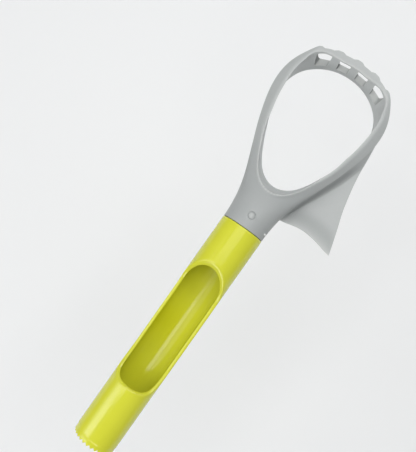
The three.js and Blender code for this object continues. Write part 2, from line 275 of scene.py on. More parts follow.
# faired half outline: x, y and the matching angle on the inner lines
_ext = np.vstack([OUTLINE[6:0:-1] * [-1, 1, -1], OUTLINE])
_s = np.concatenate([[0], np.cumsum(np.hypot(*np.diff(_ext[:, :2], axis=0).T))])
_s -= _s[6]
CORNER_S = float(_s[6 + 5])
S_END = float(_s[-1])
S_GRID = np.linspace(_s[0], S_END, 181)
_stiff = lambda s: lerp(0.05, 160.0, smooth(2.5, 9, np.abs(np.abs(s) - CORNER_S)))
_w = np.ones(len(_s))
_w[-1] = 400
FAIRED = fair(_s, _ext, S_GRID, _stiff, _w)


def outline(s):
    return np.stack([np.interp(s, S_GRID, FAIRED[:, k]) for k in range(3)], -1)


_dense = outline(np.linspace(0, S_END, 2400))
_neck = _dense[_dense[:, 1] < 60][::-1]


def half_width(y):
    return np.interp(y, _neck[:, 1], _neck[:, 0])


# ---------------------------------------------------------- slicing head: sections
N_FRONT, N_WALL, N_BACK, N_INNER = 14, 15, 12, 12
W0, B0, I0 = N_FRONT, N_FRONT + N_WALL, N_FRONT + N_WALL + N_BACK
RING = N_FRONT + N_WALL + N_BACK + N_INNER
SLIT_Z = [SLIT_TOP, -3.0, -4.15, -5.2, -6.25, -7.35, -8.2]
_t2 = 1 - (1 - np.linspace(0, 1, 260)) ** 2.2


def roll(d):
    """Fall of the front face at a distance from the crest: level at first, then a steady slope."""
    t = np.clip((np.asarray(d, float) - 0.3) / 2.4, 0, 1)
    return 2.4 * (t ** 3 - t ** 4 / 2) + np.clip(np.asarray(d, float) - 2.7, 0, None)


def front_z(x, y, u, fy, drop, width):
    edge = lerp(0.15, crest(y) - 3.6, smooth(10, 40, y))
    top = lerp(NECK_R, 6.6, smooth(2, 26, y))
    dome = np.sqrt(np.clip(1 - (x / half_width(y)) ** 2, 0, 1))
    dish = 0.5 * smooth(0.2, 2.2, u * width) * (1 - smooth(4, 13, u * width)) * smooth(4, 14, y)
    arm = crest(fy) - drop * roll(u * width) / roll(width)
    return lerp(edge + (top - edge) * dome - dish, arm, smooth(24, 42, y))


def neck_back(x, y):
    p = lerp(2, 6, smooth(2, 26, y))
    q = np.clip(np.abs(x) / half_width(y), 0, 1)
    return -0.15 - (lerp(NECK_R, -BACK_Z, smooth(1, 12, y)) - 0.15) * np.power(np.clip(1 - q ** p, 0, 1), 1 / p)


def front_rows(o, f, shoulder):
    """Crest to outer shoulder, with tight rows beside both edges."""
    deg = abs(math.degrees(math.atan2(f[0], f[1] - LOOP_Y)))
    drop = 0.3 + 2.8 * float(smooth(30, 66, deg))
    width = float(np.linalg.norm(o - f))
    x, y = lerp(f[0], o[0], _t2), lerp(f[1], o[1], _t2)
    pts = np.stack([x, y, front_z(x, y, _t2, f[1], drop, width)], 1)
    total = run(pts)
    near = np.minimum([0.35, 0.75, 1.25, 1.8, 2.4, 3.1], (total - shoulder) * np.array([0.08, 0.18, 0.31, 0.46, 0.61, 0.76]))
    d = np.concatenate([[0], near, np.linspace(near[-1], total - shoulder, N_FRONT - 7)[1:-1], [total - shoulder, total]])
    return along(pts, d)


def inner_rows(b, f, zc, arm):
    far = np.array([BACK_Z + 0.4, -9.7, -8.9] + SLIT_Z[::-1] + [-1.75, zc - 0.36])
    plain = np.concatenate([[BACK_Z + 0.5], np.linspace(BACK_Z + 0.5, zc - 0.5, N_INNER)[1:-1], [zc - 0.5]])
    z = lerp(far, plain, arm)
    t = (z - BACK_Z) / (zc - BACK_Z)
    return np.stack([lerp(b[0], f[0], t), lerp(b[1], f[1], t), z], 1)


def arm_section(o, f, b, arm, face=False):
    """One closed section of the loop: front, outer wall, back, inner wall."""
    shoulder = lerp(0.32, 0.4, arm) if not face else 0.35
    front = front_rows(o, f, shoulder)
    zc, zo = front[0, 2], front[-1, 2]
    n = (b - o) / np.linalg.norm(b - o)
    span = np.linalg.norm(b - o)
    # arm form: straight outer wall, flat back
    far_z = np.array([zo - 0.3, -2.0, -2.2, -2.4, -2.7, -3.0, -3.9, -4.8, -5.7, -6.6, -7.4, -8.2, -8.45, -9.6, BACK_Z + 0.35])
    arm_z = np.linspace(zo - 0.45, BACK_Z + 0.8, N_WALL)
    z = lerp(far_z, arm_z, arm)
    d = lerp(0.0, 0.34, arm) * np.linspace(0, 1, N_WALL) ** 2
    wall = np.column_stack([o[0] + n[0] * d, o[1] + n[1] * d, z])
    first, second = lerp(0.02, 0.36, arm), lerp(0.37, 1.2, arm)
    db = np.concatenate([[first, second], np.linspace(second, span - 0.4, N_BACK - 2)[1:-1], [span - 0.4, span]])
    back = np.column_stack([o[0] + n[0] * db, o[1] + n[1] * db, np.full(N_BACK, BACK_Z)])
    on_arm = 0.0 if face else float(smooth(18, 34, o[1]))
    if on_arm < 1:
        # neck form: round belly running into the flat back rim
        v = np.linspace(0, 1, 420) ** 2.5
        x, y = lerp(o[0], b[0], v), lerp(o[1], b[1], v)
        belly = np.stack([x, y, neck_back(x, y)], 1)
        belly[-1, 2] = BACK_Z
        if face:
            zb = belly[0, 2]
            e = min(0.35, 0.2 * (zo - zb))
            nz = np.linspace(zo - e, zb + e, N_WALL)
            nwall = np.column_stack([np.full(N_WALL, o[0]), np.full(N_WALL, o[1]), nz])
            total = run(belly)
            nb = np.concatenate([[0, 0.35], np.linspace(0.35, total - 0.4, N_BACK - 2)[1:-1], [total - 0.4, total]])
            nback = along(belly, nb)
        else:
            belly = np.vstack([[o[0], o[1], zo], belly])
            total = run(belly)
            depth = lerp(NECK_R, -BACK_Z, float(smooth(1, 12, o[1])))
            k = int(np.argmin(np.abs(np.abs(belly[:, 0]) / float(half_width(o[1])) - np.abs(belly[:, 2]) / depth)))
            part = run(belly[:k + 1])
            part = lerp(zo + 0.15, part, float(smooth(0.4, 16, o[1])))
            lw = np.linspace(0, part, N_WALL + 2)[1:-1]
            lb = np.concatenate([[part], np.linspace(part, total - 0.4, N_BACK - 1)[1:], [total]])
            nwall, nback = along(belly, lw), along(belly, lb)
        wall, back = lerp(nwall, wall, on_arm), lerp(nback, back, on_arm)
    return np.vstack([front, wall, back, inner_rows(b, f, zc, arm)])


def foot(x, yf):
    """Point of the back line at the same angle as the crest's point."""
    return inner(BACK_TABLE, math.degrees(math.atan2(x, yf - LOOP_Y)))


def pocket_section(x):
    """A section between two ribs: thin front strip, and the back bar set in from its edge."""
    yo, yf, bar = far_edge(x), line_y(FRONT_LINE, x), arc_y(BAR_R, x)
    b = foot(x, yf)
    front = front_rows(np.array([x, yo]), np.array([x, yf]), 0.2)
    zc, zo = front[0, 2], front[-1, 2]
    yz = [(yo, zo - 0.18), (yo, SLIT_TOP + 0.15), (yo, SLIT_TOP), (yo - 0.22, SLIT_TOP), (lerp(yo, bar, 0.55), SLIT_TOP)]
    yz += [(bar, z) for z in SLIT_Z] + [(bar, z) for z in (-8.9, -9.8, BACK_Z + 0.35)]
    span = float(np.hypot(b[0] - x, b[1] - bar))
    t = np.concatenate([[0, 0.35], np.linspace(0.35, span - 0.4, N_BACK - 2)[1:-1], [span - 0.4, span]]) / span
    back = np.column_stack([lerp(x, b[0], t), lerp(bar, b[1], t), np.full(N_BACK, BACK_Z)])
    lower = np.array([[x, y, z] for y, z in yz])
    return np.vstack([front, lower, back, inner_rows(b, np.array([x, yf]), zc, 0.0)])


def rib_section(x):
    yf = line_y(FRONT_LINE, x)
    o, b, bar = np.array([x, far_edge(x)]), foot(x, yf), arc_y(BAR_R, x)
    sec = arm_section(o, np.array([x, yf]), b, 0.0)
    # the back runs straight in to the bar's line, then slants to its foot; the bend fades out at the corner
    straight = lerp(o[0], b[0], (o[1] - bar) / (o[1] - b[1]))
    knee = lerp(x, straight, float(smooth(RIB_X[2] - END_RIB_HALF + 0.1, RIB_X[2], x)))
    path = np.array([[o[0], o[1], BACK_Z], [knee, bar, BACK_Z], [b[0], b[1], BACK_Z]])
    span = run(path)
    d = np.concatenate([[0.02, 0.37], np.linspace(0.37, span - 0.4, N_BACK - 2)[1:-1], [span - 0.4, span]])
    sec[B0:I0] = along(path, d)
    return sec


def loop_rings():
    """All sections in order round the loop."""
    half = [rib_section(x) for x in (0.0, 0.65, 1.12, 1.26, 1.36, 1.55, RIB_HALF - 0.1)]

    def flank(x, side):
        """Stations over one rib's side: side 1 runs from rib to pocket, -1 from pocket to rib."""
        steps = [(side * -0.07, 0.12), (side * -0.03, 0.88), (0.0, 1.0)][::side]
        return [lerp(rib_section(x + d), pocket_section(x + d), mix) for d, mix in steps]

    for k in (0, 1):
        a, b = RIB_X[k], RIB_X[k + 1]
        half += flank(a + RIB_HALF, 1)
        half += [pocket_section(a + d) for d in (2.2, 2.6, 2.92, 3.06, 3.22, 3.7, 4.4)] + [pocket_section((a + b) / 2)]
        last = k == 1
        half += [pocket_section(b - d) for d in (4.4, 3.7, 3.22, 3.06, 2.92, 2.6, 2.2, *((1.85, 1.6, 1.35) if last else ()))]
        half += flank(b - (END_RIB_HALF if last else RIB_HALF), -1)
        half += [rib_section(b + d) for d in ((-0.98, -0.65, -0.3, -0.12, 0.02) if last else (-RIB_HALF + 0.1, -1.55, -1.36, -1.26, -1.12, -0.65, 0.0, 0.65, 1.12, 1.26, 1.36, 1.55, RIB_HALF - 0.1))]
    # right arm, joint face, left arm
    s0 = CORNER_S + 0.55
    s = np.concatenate([[s0, s0 + 0.35, s0 + 0.8, s0 + 1.4], np.linspace(s0 + 2.3, S_END - 2.6, 64)])
    s = np.concatenate([s, [S_END - 1.4, S_END - 0.55, S_END]])
    right = []
    for x, y, deg in outline(s):
        arm = float(smooth(26.5, 40, math.degrees(math.atan2(x, y - FAR_ARC_Y))))
        last = y <= JOINT_GAP + 1e-3
        o = np.array([x, y]) if not last else np.array([NECK_R, JOINT_GAP])
        right.append(arm_section(o, inner(FRONT_TABLE, deg), inner(BACK_TABLE, deg), arm, last))
    face = []
    for psi in np.linspace(0, 180, 21)[1:-1]:
        x = NECK_R * math.cos(math.radians(psi))
        deg = math.copysign(float(np.interp(abs(x), FACE_X, FACE_DEG)), x if abs(x) > 1e-9 else 1)
        face.append(arm_section(np.array([x, JOINT_GAP]), inner(FRONT_TABLE, deg), inner(BACK_TABLE, deg), 1.0, True))
    right = half + right
    left = [r * [-1, 1, 1] for r in right[:0:-1]]
    return np.array(right + face + left)


def loop_object():
    global CREST_LINE
    rings = loop_rings()
    CREST_LINE = rings[:, 0].copy()
    n = len(rings)
    vid = lambda i, j: (i % n) * RING + j % RING
    faces = [(vid(i, j), vid(i + 1, j), vid(i + 1, j + 1), vid(i, j + 1)) for i in range(n) for j in range(RING)]
    return subdivide(tidy(make_mesh("slicer_head_shell", rings.reshape(-1, 3), faces)), 1)


def slit_cutters():
    """Prisms along Y for the four slicing windows, with eased lower corners."""
    verts, faces = [], []
    for x0, x1 in [(-b, -a) for a, b in SLIT_X[::-1]] + list(SLIT_X):
        ring = []
        for cx, cz, sx, sz, r in ((x0, SLIT_BOTTOM, 1, 1, 1.25), (x1, SLIT_BOTTOM, -1, 1, 1.25), (x1, SLIT_TOP - 0.03, -1, -1, 0.5), (x0, SLIT_TOP - 0.03, 1, -1, 0.5)):
            arc = [(cx + sx * r * (1 - math.sin(t)), cz + sz * r * (1 - math.cos(t))) for t in np.linspace(0, math.pi / 2, 9)]
            ring += arc if sx == -sz else arc[::-1]
        near, end = sorted((x0, x1), key=abs)
        if abs(end) > 15:
            # the outermost walls close in towards the back
            draft = math.copysign(1.45, end) / (SLIT_TOP - SLIT_BOTTOM)
            ring = [(x - draft * (SLIT_TOP - z) * (x - near) / (end - near), z) for x, z in ring]
        base, m = len(verts), len(ring)
        for y in (80.0, 98.0):
            verts += [(x, y, z) for x, z in ring]
        faces += [(base + j, base + (j + 1) % m, base + m + (j + 1) % m, base + m + j) for j in range(m)]
        faces += [tuple(base + j for j in range(m)), tuple(base + m + j for j in range(m))]
    return tidy(make_mesh("slicer_head_slits", verts, faces))


def belt_object(name, rows):
    """Closed solid from rows that each run out on one face and back on the other."""
    rows = np.asarray(rows)
    n, m = rows.shape[:2]
    faces = [(i * m + j, (i + 1) * m + j, (i + 1) * m + (j + 1) % m, i * m + (j + 1) % m) for i in range(n - 1) for j in range(m)]
    for i in (0, n - 1):
        for j in range(m // 2 - 1):
            faces.append((i * m + j, i * m + j + 1, i * m + m - 2 - j, i * m + m - 1 - j))
    return tidy(make_mesh(name, rows.reshape(-1, 3), faces))


def fin_object():
    ns = 96
    root, outer = curve_through(FIN_ROOT_LINE, ns), curve_through(FIN_OUTER_LINE, ns)
    rim = np.array([1.0, 0.6, 0.42, 0.3, 0.2, 0.11, 0.04, 0.0])
    low = curve_through(FIN_LOWER_LINE, 400)
    low_u = np.linspace(0, 1, 401)
    ss = np.concatenate([np.linspace(0, 1 - 1.5 / 60, ns), 1 - rim / 60])
    arm = _dense[(_dense[:, 1] > 4) & (_dense[:, 1] < 80)][::2, :2]
    tan = np.gradient(arm, axis=0)
    out = np.stack([-tan[:, 1], tan[:, 0]], 1)
    out /= np.linalg.norm(out, axis=1, keepdims=True)
    out *= np.sign(out[:, :1])
    _full = _dense[(_dense[:, 1] > 4) & (_dense[:, 1] < 80)][::2]
    _pick = np.linspace(0, len(_full) - 1, 60).astype(int)
    _zo = np.array([front_rows(_full[i, :2], inner(FRONT_TABLE, _full[i, 2]), 0.4)[-1, 2] for i in _pick])
    shoulder_z = np.interp(np.arange(len(_full)), _pick, _zo)
    rows = []
    for s in ss:
        r = np.array([np.interp(s, np.linspace(0, 1, ns + 1), root[:, k]) for k in range(2)])
        o = np.array([np.interp(s, np.linspace(0, 1, ns + 1), outer[:, k]) for k in range(2)])
        width = np.linalg.norm(o - r)
        keep = min(rim[0] * 1.5, 0.5 * width)
        tt = np.concatenate([np.linspace(0, 1, 54) ** 1.3 * (1 - keep / width), 1 - rim * keep / (1.5 * rim[0]) / width])
        lower = np.stack([np.interp(tt, low_u, low[:, k]) for k in range(2)], 1)
        p = lerp(r, o, tt[:, None]) + s ** 4 * (lower - lerp(lower[0], lower[-1], tt[:, None]))
        k = np.argmin(((p[:, None] - arm[None]) ** 2).sum(2), 1)
        d = ((p - arm[k]) * out[k]).sum(1)
        ya = arm[k][:, 1]
        h = 0.5 * lerp(FIN_EDGE, FIN_ROOT, (1 - tt) ** 0.8 * (1 - s ** 8))
        reach = np.interp(ya, [14, 20, 26, 34, 45, 57, 66, 72], [0.5, 1.0, 1.7, 2.8, 3.6, 3.8, 3.0, 1.4])
        rise = np.clip(shoulder_z[k] - 0.35 - (FIN_Z + h), 0, None) * smooth(11, 22, ya)
        fillet = rise * (1 - np.clip(d / reach, 0, 1)) ** 1.6
        qb = np.clip(1.0 - d, 0, 1.0)
        under = 1.0 - np.sqrt(np.clip(1.0 - qb ** 2, 0, None))
        te = np.clip(1 - (1 - tt) * width / 0.45, 0, 1)
        se = np.clip(1 - (1 - s) * 60 / 0.45, 0, 1)
        h = h * np.sqrt(np.clip(1 - np.maximum(te, se) ** 2, 0.02, 1))
        fall = 0.75 * max(0.0, 1 - (1 - s) * 60 / 7.5) ** 2 * smooth(0.5, 5, d)
        top = np.column_stack([p, FIN_Z + h + fillet - fall])
        bottom = np.column_stack([p, FIN_Z - h - under - fall])
        rows.append(np.vstack([top, bottom[::-1]]))
    return belt_object("slicer_head_fin", rows)


def bow(v, side):
    """Leans the joint's edge forward at the front; fades out along the piece on the given side."""
    d = np.asarray(v, float) * [1, side, 1]
    lean = (JOINT_BOW * np.asarray(v)[:, 2] / TUBE_R - 0.4) * (1 - smooth(0, 14, d[:, 1])) * (d[:, 1] >= -1e-6)
    return np.asarray(v, float) + np.outer(lean, [0, 1, 0])


def settle(v):
    """Small unevenness of the far end: fuller first scallop on the left, trimmed corner on the right."""
    q = np.array(v, float)
    x, y = q[:, 0].copy(), q[:, 1].copy()
    q[:, 1] += 0.38 * np.exp(-((x + 15.6) / 2.6) ** 2) * smooth(92, 96, y)
    trim = np.exp(-((x - 20.2) ** 2 + (y - 94.4) ** 2) / 3.4 ** 2)
    q[:, 0] -= 0.42 * trim
    q[:, 1] -= 0.5 * trim
    return q


def lathe_y(name, profile, n):
    """Solid of revolution about the tool's axis from a closed (radius, y) profile off the axis, or an open one that ends on it."""
    verts, faces = [], []
    m = len(profile)
    for i in range(n):
        a = 2 * math.pi * i / n
        verts += [(r * math.sin(a), y, r * math.cos(a)) for r, y in profile]
    for i in range(n):
        k = (i + 1) % n
        faces += [(i * m + j, k * m + j, k * m + j + 1, i * m + j + 1) for j in range(m - 1)]
    return tidy(make_mesh(name, verts, faces), 1e-6)


def spigot_object():
    """Blunt hollow plug: outside, nose and blind bore in one turned profile."""
    e = SPIGOT_LENGTH
    p = [(0, 4.0), (SPIGOT_R, 4.0), (SPIGOT_R, 0.6), (SPIGOT_R, -6), (SPIGOT_R, -12), (SPIGOT_R, -e + 1.4)]
    p += [(SPIGOT_R - 0.1, -e + 0.9), (SPIGOT_R - 0.45, -e + 0.3), (SPIGOT_R - 0.9, -e)]
    p += [(SPIGOT_BORE_R + 0.4, -e), (SPIGOT_BORE_R + 0.1, -e + 0.15), (SPIGOT_BORE_R, -e + 0.5), (SPIGOT_BORE_R, -8), (SPIGOT_BORE_R - 0.15, 2.2), (SPIGOT_BORE_R - 0.6, 2.6), (0, 2.6)]
    return lathe_y("slicer_head_spigot", p, 96)


GATE = (0.35, 6.9)


def neck_top(x, y):
    """Height of the neck's crown."""
    return 0.15 + (lerp(NECK_R, 6.6, smooth(2, 26, y)) - 0.15) * np.sqrt(1 - (x / half_width(y)) ** 2)


def gate_ring(name, profile, closed):
    """Turned shape on the neck's crown; profile heights are measured from its surface."""
    n, m = 56, len(profile)
    verts = []
    for i in range(n):
        a = 2 * math.pi * i / n
        for r, h in profile:
            x, y = GATE[0] + r * math.cos(a), GATE[1] + r * math.sin(a)
            verts.append((x, y, float(neck_top(x, y)) + h))
    faces = [(i * m + j, ((i + 1) % n) * m + j, ((i + 1) % n) * m + (j + 1) % m, i * m + (j + 1) % m) for i in range(n) for j in range(m if closed else m - 1)]
    return tidy(make_mesh(name, verts, faces), 1e-6)


def gate_cutter():
    """Shallow ring pressed into the neck's crown, round a low stud."""
    return gate_ring("slicer_head_gate", [(1.38, 0.5), (1.42, -0.05), (1.52, -0.32), (1.72, -0.42), (1.92, -0.34), (2.06, -0.08), (2.1, 0.5)], True)


def gate_stud():
    """Low dome inside the ring."""
    return gate_ring("slicer_head_stud", [(0, 0.3), (0.4, 0.27), (0.75, 0.19), (1.05, 0.05), (1.3, -0.12), (1.3, -0.8), (0, -0.8)], False)


PIP = (10.35, 3.3, 4.25)


def pip_object():
    """Small round alignment pip beside the joint."""
    bm = bmesh.new()
    bmesh.ops.create_icosphere(bm, subdivisions=3, radius=0.75)
    verts = [(PIP[0] + v.co.x, PIP[1] + v.co.y, PIP[2] + v.co.z) for v in bm.verts]
    faces = [[v.index for v in f.verts] for f in bm.faces]
    bm.free()
    return tidy(make_mesh("slicer_head_pip", verts, faces))


def head_object():
    head = loop_object()
    head = boolean(head, slit_cutters(), "DIFFERENCE")
    head = boolean(head, fin_object(), "UNION")
    head = boolean(head, spigot_object(), "UNION")
    head = boolean(head, gate_cutter(), "DIFFERENCE")
    head = boolean(head, gate_stud(), "UNION")
    head = boolean(head, pip_object(), "UNION")
    head.name = head.data.name = "slicer_head_moulding"
    v = np.array([p.co for p in head.data.vertices], float)
    v = settle(bow((v - ORIGIN) * 1000, 1)) * 0.001 + ORIGIN
    v[:, 0] = np.maximum(v[:, 0], CAD_BOX[0][0])
    head.data.vertices.foreach_set("co", v.astype(np.float32).ravel())
    head.data.update()
    tidy(head, 1e-7)
    shade(head, 40)
    return head


# ------------------------------------------------------------------ coring handle
_upper, _lower = curve_through(UPPER_CUT, 270), curve_through(LOWER_CUT, 270)


def upper_y(z):
    return float(np.interp(z, _upper[:, 0], _upper[:, 1]))


def lower_y(z):
    return float(np.interp(z, _lower[:, 0], _lower[:, 1]))


def rim_angles():
    """Angles from the crown down to the straight land for one window end."""
    a = np.linspace(0, 58, 30)
    z = TUBE_R * math.cos(math.radians(58)) * (1 - np.linspace(0, 1, 19)[1:]) ** 2
    return np.concatenate([a, np.degrees(np.arccos(z / TUBE_R))])


def unit(v):
    return v / np.maximum(1e-12, np.linalg.norm(v, axis=-1, keepdims=True))


def rim_curve(r):
    """One side of the window's edge on a cylinder of radius r, upper tip to lower tip."""
    a = np.radians(rim_angles())
    top = np.array([[r * math.sin(p), upper_y(r * math.cos(p)), r * math.cos(p)] for p in a])
    bottom = np.array([[r * math.sin(p), lower_y(r * math.cos(p)), r * math.cos(p)] for p in a[::-1]])
    land = np.array([[r, y, 0.0] for y in np.linspace(top[-1, 1], bottom[0, 1], 16)[1:-1]])
    return np.vstack([top, land, bottom])


def away(curve, r):
    """Unit directions on the cylinder, square to the edge and pointing away from the window."""
    mirrored = np.vstack([curve[1] * [-1, 1, 1], curve, curve[-2] * [-1, 1, 1]])
    tan = unit(mirrored[2:] - mirrored[:-2])
    nrm = unit(curve * [1, 0, 1])
    side = unit(np.cross(nrm, tan))
    middle = np.array([0, -60.0, TUBE_R])
    flip = np.sign((side * (curve - middle)).sum(1, keepdims=True))
    return side * flip, tan


def on_tube(p, r):
    q = p.copy()
    k = r / np.hypot(p[:, 0], p[:, 2])
    q[:, 0] *= k
    q[:, 2] *= k
    return q


def bezier(a, c, b, t):
    return (1 - t) ** 2 * a + 2 * t * (1 - t) * c + t * t * b


def handle_object():
    cols = TOOTH_COUNT * 6
    eo, ei = rim_curve(TUBE_R), rim_curve(BORE_R)
    ao, to = away(eo, TUBE_R)
    ai, ti = away(ei, BORE_R)
    across = ei - eo
    across = unit(across - (across * to).sum(1, keepdims=True) * to)
    ro, ri = RIM_OUTER, RIM_INNER
    qo, qi = on_tube(eo + ro * ao, TUBE_R), on_tube(ei + ri * ai, BORE_R)
    so, si = eo + ro * across, ei - ri * across
    strip = [qo] + [bezier(qo, eo, so, t) for t in (0.2, 0.4, 0.6, 0.8)] + [so]
    strip += [lerp(so, si, t) for t in (0.33, 0.67)] + [si] + [bezier(si, ei, qi, t) for t in (0.2, 0.4, 0.6, 0.8)] + [qi]
    for s in strip:                       # both ends lie on the tool's middle plane
        s[0, 0] = s[-1, 0] = 0.0
    verts, faces = [], []

    def add_row(r, ys, start):
        """Points round the tube from the window's edge at angle start to the other edge."""
        base = len(verts)
        a = np.linspace(start, 2 * math.pi - start, cols + 1)
        y = np.broadcast_to(ys, a.shape)
        rr = np.broadcast_to(r, a.shape)
        verts.extend(np.column_stack([rr * np.sin(a), y, rr * np.cos(a)]).tolist())
        return base

    def join(a, b):
        faces.extend((a + j, a + j + 1, b + j + 1, b + j) for j in range(cols))

    tri = np.abs(((np.arange(cols + 1) / 6) % 1) - 0.5) * 2        # 1 at a tip, 0 in a valley
    end = -TUBE_LENGTH + TOOTH_HEIGHT * (1 - tri)
    start_o = np.arctan2(qo[:, 0], qo[:, 2])
    start_i = np.arctan2(qi[:, 0], qi[:, 2])

    outer_rows = [(10.72, 0.0, 0), (10.9, -0.03, 0), (11.07, -0.12, 0), (11.19, -0.29, 0), (TUBE_R, -0.55, 0), (TUBE_R, -1.2, 0)]
    outer_rows += [(TUBE_R, y, 0) for y in np.linspace(-2.4, qo[0, 1] + 1.0, 12)] + [(TUBE_R, qo[0, 1] + 0.4, 0)]
    outer_rows += [(TUBE_R, qo[k, 1], start_o[k]) for k in range(len(qo))]
    outer_rows += [(TUBE_R, qo[-1, 1] - 0.4, 0)] + [(TUBE_R, y, 0) for y in np.linspace(qo[-1, 1] - 1.2, -122.4, 16)]
    outer_rows += [(TUBE_R, -123.0, 0), (TUBE_R - 0.03, -123.25, 0), (TUBE_R - 0.12, -123.6, 0)]
    outer_rows += [(TUBE_R - 0.17, lerp(-123.6, end, t), 0) for t in (0.33, 0.66, 0.9)] + [(TUBE_R - 0.24, lerp(-123.6, end, 0.97), 0), (TUBE_R - 0.36, end, 0)]
    inner_rows_ = [(9.85, 0.0, 0), (9.7, -0.04, 0), (9.55, -0.16, 0), (BORE_R, -0.4, 0), (BORE_R, -1.2, 0)]
    inner_rows_ += [(BORE_R, y, 0) for y in np.linspace(-2.4, qi[0, 1] + 1.0, 12)] + [(BORE_R, qi[0, 1] + 0.4, 0)]
    inner_rows_ += [(BORE_R, qi[k, 1], start_i[k]) for k in range(len(qi))]
    inner_rows_ += [(BORE_R, qi[-1, 1] - 0.4, 0)] + [(BORE_R, y, 0) for y in np.linspace(qi[-1, 1] - 1.2, -122.4, 14)]
    inner_rows_ += [(BORE_R, -123.6, 0)] + [(lerp(BORE_R, 9.82, t), lerp(-123.6, end, t), 0) for t in (0.33, 0.66, 0.9)] + [(9.9, end, 0)]

    bo = [add_row(*row) for row in outer_rows]
    bi = [add_row(*row) for row in inner_rows_]
    for rows in (bo, bi):
        for a, b in zip(rows, rows[1:]):
            join(a, b)
    join(bo[0], bi[0])
    join(bo[-1], bi[-1])
    # window rim on both sides
    for sign in (1, -1):
        ids = []
        for s in strip:
            base = len(verts)
            verts.extend((s * [sign, 1, 1]).tolist())
            ids.append(base)
        for a, b in zip(ids, ids[1:]):
            faces.extend((a + k, a + k + 1, b + k + 1, b + k) for k in range(len(qo) - 1))
    # the handle sits slightly turned on the head
    v = np.array(verts)
    c, t = math.cos(math.radians(HANDLE_TURN)), math.sin(math.radians(HANDLE_TURN))
    v = np.column_stack([c * v[:, 0] + t * v[:, 2], v[:, 1], c * v[:, 2] - t * v[:, 0]])
    ob = tidy(make_mesh("corer_handle_moulding", bow(v, -1), faces), 2e-6)
    shade(ob, 38)
    return ob


# ------------------------------------------------------------------------ surface
def edge_highlight_attribute(ob, gain, skip=None):
    """Stores how sharply each point stands out, for a painted highlight along sharp edges, except on skipped points."""
    me = ob.data
    n = len(me.vertices)
    co = np.empty(n * 3, np.float32)
    me.vertices.foreach_get("co", co)
    co = co.reshape(-1, 3).astype(float) * 1000
    nm = np.empty(n * 3, np.float32)
    me.vertices.foreach_get("normal", nm)
    nm = nm.reshape(-1, 3).astype(float)
    ed = np.empty(len(me.edges) * 2, np.int32)
    me.edges.foreach_get("vertices", ed)
    a, b = ed.reshape(-1, 2).T
    d = co[b] - co[a]
    l2 = np.maximum(1e-3, (d ** 2).sum(1))
    acc, cnt = np.zeros(n), np.zeros(n)
    for i, k, s in ((a, b, 1), (b, a, -1)):
        np.add.at(acc, i, -s * (d * nm[i]).sum(1) / l2)
        np.add.at(cnt, i, 1)
    bend = acc / np.maximum(1, cnt)
    for _ in range(2):
        acc, cnt = bend.copy(), np.ones(n)
        np.add.at(acc, a, bend[b]); np.add.at(cnt, a, 1)
        np.add.at(acc, b, bend[a]); np.add.at(cnt, b, 1)
        bend = acc / cnt
    if skip is not None:
        bend[skip] = 0
    at_ = me.attributes.new("edge", "FLOAT", "POINT")
    at_.data.foreach_set("value", np.clip(bend * gain, 0, 1).astype(np.float32))


def point_attribute(ob, name, values):
    at_ = ob.data.attributes.new(name, "FLOAT", "POINT")
    at_.data.foreach_set("value", np.asarray(values, np.float32))


class Nodes:
    """Helper for building a node tree."""

    def __init__(self, name):
        self.mat = bpy.data.materials.new(name)
        self.mat.use_nodes = True
        self.tree = self.mat.node_tree
        self.tree.nodes.clear()

    def add(self, kind, **sockets):
        n = self.tree.nodes.new(kind)
        for k, v in sockets.items():
            setattr(n, k, v)
        return n

    def link(self, a, b):
        self.tree.links.new(a, b)

    def noise(self, scale, detail=3.0, rough=0.55, stretch=None):
        tc = self.add("ShaderNodeTexCoord")
        n = self.add("ShaderNodeTexNoise")
        n.inputs["Scale"].default_value = scale
        n.inputs["Detail"].default_value = detail
        n.inputs["Roughness"].default_value = rough
        if stretch:
            m = self.add("ShaderNodeMapping")
            m.inputs["Scale"].default_value = stretch
            self.link(tc.outputs["Object"], m.inputs["Vector"])
            self.link(m.outputs["Vector"], n.inputs["Vector"])
        else:
            self.link(tc.outputs["Object"], n.inputs["Vector"])
        return n.outputs["Fac"]

    def span(self, value, lo, hi, a=0.3, b=0.7):
        n = self.add("ShaderNodeMapRange")
        for k, v in (("From Min", a), ("From Max", b), ("To Min", lo), ("To Max", hi)):
            n.inputs[k].default_value = v
        self.link(value, n.inputs["Value"])
        return n.outputs["Result"]

    def mix(self, fac, a, b):
        n = self.add("ShaderNodeMix", data_type="RGBA")
        self.link(fac, n.inputs["Factor"])
        for socket, v in ((n.inputs[6], a), (n.inputs[7], b)):
            if isinstance(v, tuple):
                socket.default_value = (*v, 1.0)
            else:
                self.link(v, socket)
        return n.outputs[2]

    def attribute(self, name):
        n = self.add("ShaderNodeAttribute", attribute_name=name)
        return n.outputs["Fac"]

    def bump(self, height, strength, distance, normal=None):
        n = self.add("ShaderNodeBump")
        n.inputs["Strength"].default_value = strength
        n.inputs["Distance"].default_value = distance
        self.link(height, n.inputs["Height"])
        if normal is not None:
            self.link(normal, n.inputs["Normal"])
        return n.outputs["Normal"]

    def shader(self, color, roughness, normal, **values):
        b = self.add("ShaderNodeBsdfPrincipled")
        o = self.add("ShaderNodeOutputMaterial")
        self.link(color, b.inputs["Base Color"])
        self.link(roughness, b.inputs["Roughness"])
        if normal is not None:
            self.link(normal, b.inputs["Normal"])
        for k, v in values.items():
            b.inputs[k.replace("_", " ")].default_value = v
        self.link(b.outputs["BSDF"], o.inputs["Surface"])
        return self.mat


